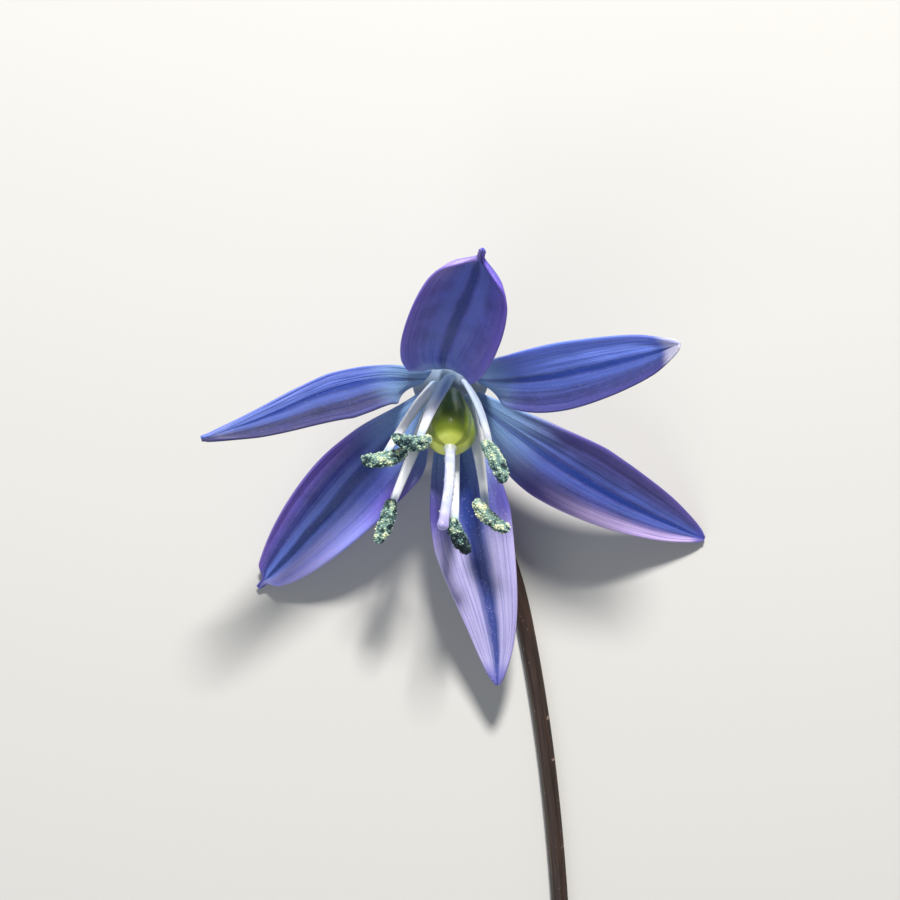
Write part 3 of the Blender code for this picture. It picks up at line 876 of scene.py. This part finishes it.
def style_finish():
    wax = Finish("style_colour", 0.3)
    where = wax.place()
    flat = wax.make("ShaderNodeUVMap", uv_map="petal")
    along = wax.make("ShaderNodeSeparateXYZ", {0: flat})
    soft = wax.noise(where, 1800.0, 3.0)
    colour = wax.blend(wax.ramp(soft, 0.35, 0.65), STYLE_BLUE, STYLE_LILAC)
    colour = wax.blend(wax.ramp(along, 0.006, 0.0, 0.0, 0.7), colour, STYLE_FOOT)
    colour = wax.blend(wax.ramp(along, 0.036, 0.052, 0.0, 0.7), colour, STIGMA_VIOLET)
    wax.set(Base_Color=colour, Subsurface_Weight=0.4, Subsurface_Scale=0.0005, Coat_Weight=0.3)
    wax.shader.inputs["Subsurface Radius"].default_value = (1.0, 1.0, 1.0)
    wax.relief(wax.noise(where, 7500.0, 2.0), 0.3, 0.00003)
    return wax.material


def add_grains(mesh, path, draw):
    bm = bmesh.new()
    bm.from_mesh(mesh)
    for _ in range(STYLE_GRAINS):
        spot = path[draw.randrange(6, len(path) - 3)]
        turn = draw.uniform(0.0, 2.0 * math.pi)
        offset = Vector((math.cos(turn), 0.0, math.sin(turn))) * STYLE_RADIUS * 0.98
        made = bmesh.ops.create_icosphere(bm, subdivisions=1, radius=draw.uniform(*GRAIN_SIZES) * MM)
        for vert in made["verts"]:
            vert.co += spot + offset
    bm.to_mesh(mesh)
    bm.free()


def make_style(finish):
    start = RECEPTACLE + PISTIL_AXIS * (OVARY_LENGTH + STYLE_LIFT)
    end = RECEPTACLE + STYLE_END
    run = end - start
    knots = [start, start + run * 0.25 + STYLE_BULGE * 0.7, start + run * 0.5 + STYLE_BULGE,
             start + run * 0.75 + STYLE_BULGE * 0.6, end]
    path = smooth_path(knots, STYLE_STEPS)
    last = len(path) - 1

    def radius_at(index, distance, angle):
        t = index / last
        knob = math.exp(-((t - KNOB_AT) / KNOB_SPREAD) ** 2) * (STIGMA_RADIUS - STYLE_RADIUS)
        close = math.sqrt(max(1.0 - max((t - STYLE_CLOSES_FROM) / STYLE_CLOSES_OVER, 0.0) ** 2, 0.02))
        collar = smooth_step((COLLAR_ENDS - t) / COLLAR_ENDS) * STYLE_COLLAR
        ribs = STYLE_RIB_HEIGHT * math.cos(angle * STYLE_RIBS)
        return (STYLE_RADIUS + collar + knob + ribs) * close

    mesh = sweep("style_stalk", path, radius_at, STYLE_SIDES)
    add_grains(mesh, path, random.Random(GRAIN_SEED))
    return add_piece("style_stalk", mesh, "style", finish)


piece = make_style(style_finish())
print(piece.name, len(piece.data.polygons), "faces")

# %% [markdown]
# ## The stem
# Siberian squill stems are dark red-brown near the flower and faintly ribbed, with
# pale flecks where the skin has stretched. The first two millimetres are the pale
# blue bell that the petals grow on. The stem lies on the surface, so its underside
# is pressed a little flat, as the solid's is.

# %% Stem and receptacle
STEM_AXIS_HEIGHT = 0.44 * MM
NECK_LENGTH = 1.0 * MM
STEM_RUN = ((1.1, -4.6), (3.3, -9.5), (4.5, -14.5), (5.6, -22.0), (6.3, -31.0), (6.4, -41.0), (5.9, -51.0))
ARCH_STEPS = 6
STEM_STEPS = 14
STEM_SIDES = 56
STEM_RIBS = 7.0
STEM_RIB_HEIGHT = 0.014 * MM
STEM_GIRTH = ((0.0, 2.05), (0.45, 1.75), (1.0, 1.0), (1.5, 0.66), (2.2, 0.5), (3.2, 0.47))
STEM_SHRINKS = 0.01 * MM
BARK_DARK = (0.012, 0.006, 0.004)
BARK_BROWN = (0.045, 0.021, 0.012)
FLECK_PALE = (0.28, 0.2, 0.17)
BELL_BLUE = (0.30, 0.40, 0.55)


def stem_knots():
    knots = [RECEPTACLE - FLOWER_AXIS * (0.5 * MM), RECEPTACLE - FLOWER_AXIS * (0.8 * MM),
             RECEPTACLE - FLOWER_AXIS * (1.25 * MM)]
    start = RECEPTACLE - FLOWER_AXIS * (NECK_LENGTH + 0.8 * MM)
    inward = Vector((0.0, -math.cos(AXIS_LEAN), -math.sin(AXIS_LEAN)))
    radius = (start.z - STEM_AXIS_HEIGHT) / (1.0 + math.sin(AXIS_LEAN))
    centre = start + inward * radius
    turn = math.pi / 2.0 + AXIS_LEAN
    for step in range(ARCH_STEPS + 1):
        offset = Matrix.Rotation(-turn * step / ARCH_STEPS, 3, 'X') @ (inward * -radius)
        knots.append(centre + offset)
    for right, front in STEM_RUN:
        knots.append(Vector((RECEPTACLE.x + right * MM, RECEPTACLE.y + front * MM, STEM_AXIS_HEIGHT)))
    return knots


def stem_finish():
    bark = Finish("stem_colour", 0.42)
    where = bark.place()
    flat = bark.make("ShaderNodeUVMap", uv_map="petal")
    parts = bark.make("ShaderNodeSeparateXYZ", {0: flat})
    lines = bark.make("ShaderNodeCombineXYZ", {0: bark.calc('MULTIPLY', parts, 30.0),
                                               1: bark.calc('MULTIPLY', parts.node.outputs[1], 26.0), 2: 0.0})
    streak = bark.noise(lines, 1.0, 4.0, 0.6)
    colour = bark.blend(bark.ramp(streak, 0.35, 0.7), BARK_DARK, BARK_BROWN)
    fleck = bark.noise(where, 2600.0, 2.0)
    colour = bark.blend(bark.ramp(fleck, 0.66, 0.74, 0.0, 0.7), colour, FLECK_PALE)
    colour = bark.blend(bark.ramp(parts, 0.026, 0.015), colour, BELL_BLUE)
    bark.set(Base_Color=colour, Coat_Weight=0.1)
    bark.relief(streak, 0.5, 0.00006)
    return bark.material


def make_stem(finish):
    path = smooth_path(stem_knots(), STEM_STEPS)
    stations = [pair[0] for pair in STEM_GIRTH]
    radii = [pair[1] for pair in STEM_GIRTH]

    def radius_at(index, distance, angle):
        girth = float(np.interp(distance / MM, stations, radii)) * MM
        ribs = STEM_RIB_HEIGHT * math.cos(angle * STEM_RIBS)
        return girth - STEM_SHRINKS + ribs

    mesh = sweep("stem_stalk", path, radius_at, STEM_SIDES)
    for vert in mesh.vertices:
        vert.co.z = max(vert.co.z, 0.0)
    return add_piece("stem_stalk", mesh, "stem", finish)


piece = make_stem(stem_finish())
print(piece.name, len(piece.data.polygons), "faces")

# %% [markdown]
# ## The floor
# The flower is small and its blues are deep, so it lies on a plain pale floor. The
# floor is about twenty times as wide as the flower is long. Its edge is out of sight
# from above, and shows far off in low views.

# %% Floor
FLOOR_HALF = 0.6
FLOOR_PALE = (0.55, 0.545, 0.53)


def make_floor():
    bm = bmesh.new()
    bmesh.ops.create_grid(bm, x_segments=1, y_segments=1, size=FLOOR_HALF)
    mesh = mesh_of(bm, "floor")
    floor = bpy.data.objects.new("floor", mesh)
    bpy.context.scene.collection.objects.link(floor)
    paper = Finish("floor_colour", 0.7)
    paper.set(Base_Color=FLOOR_PALE)
    mesh.materials.append(paper.material)


make_floor()
print("floor", FLOOR_HALF * 2.0, "m across")

# %% [markdown]
# ## Light
# A lamp from beyond the flower's head throws the stamens' shadows down the lowest
# petal, a broad weak one fills the shade, and the sky evens out the rest. The plain
# Standard view is used, because it leaves the deep blues as strong as they are.

# %% Lamps and sky
HEAD = RECEPTACLE + Vector((0.5, -3.5, 3.0)) * MM
KEY_OFFSET = Vector((0.02, 0.20, 0.22))
KEY_WATTS = 1.5
KEY_WIDTH = 0.05
KEY_WARM = (1.0, 0.97, 0.92)
FILL_OFFSET = Vector((-0.16, -0.22, 0.28))
FILL_WATTS = 0.33
FILL_WIDTH = 0.30
FILL_COOL = (0.90, 0.95, 1.0)
SKY_COLOUR = (0.88, 0.93, 1.0, 1.0)
SKY_STRENGTH = 0.25


def add_lamp(name, spot, aim, size, power, colour):
    lamp = bpy.data.lights.new(name, 'AREA')
    lamp.shape = 'DISK'
    lamp.size = size
    lamp.energy = power
    lamp.color = colour
    thing = bpy.data.objects.new(name, lamp)
    bpy.context.scene.collection.objects.link(thing)
    thing.location = spot
    thing.rotation_euler = (aim - spot).to_track_quat('-Z', 'Y').to_euler()


add_lamp("key_lamp", HEAD + KEY_OFFSET, HEAD, KEY_WIDTH, KEY_WATTS, KEY_WARM)
add_lamp("fill_lamp", HEAD + FILL_OFFSET, HEAD, FILL_WIDTH, FILL_WATTS, FILL_COOL)
sky = bpy.data.worlds.new("sky")
sky.use_nodes = True
sky.node_tree.nodes["Background"].inputs["Color"].default_value = SKY_COLOUR
sky.node_tree.nodes["Background"].inputs["Strength"].default_value = SKY_STRENGTH
bpy.context.scene.world = sky
bpy.context.scene.view_settings.view_transform = 'Standard'
print("lamps: key and fill")

# %% [markdown]
# ## Camera
# The camera looks straight down, a hand's breadth above the receptacle. Its lens
# follows from how wide the picture has to be at the receptacle's height.

# %% Camera
CAMERA_HEIGHT = 110.0 * MM
FRAME_WIDTH = 48.6 * MM
HEAD_ABOVE_CENTRE = 3.24 * MM
SENSOR_WIDTH = 36.0
camera_data = bpy.data.cameras.new("camera")
camera_data.sensor_width = SENSOR_WIDTH
camera_data.lens = SENSOR_WIDTH * CAMERA_HEIGHT / FRAME_WIDTH
camera_data.clip_start = 0.005
camera = bpy.data.objects.new("camera", camera_data)
bpy.context.scene.collection.objects.link(camera)
camera.location = RECEPTACLE + Vector((0.0, -HEAD_ABOVE_CENTRE, CAMERA_HEIGHT))
camera.rotation_euler = (0.0, 0.0, 0.0)
bpy.context.scene.camera = camera
print("lens", round(camera_data.lens, 1), "mm")
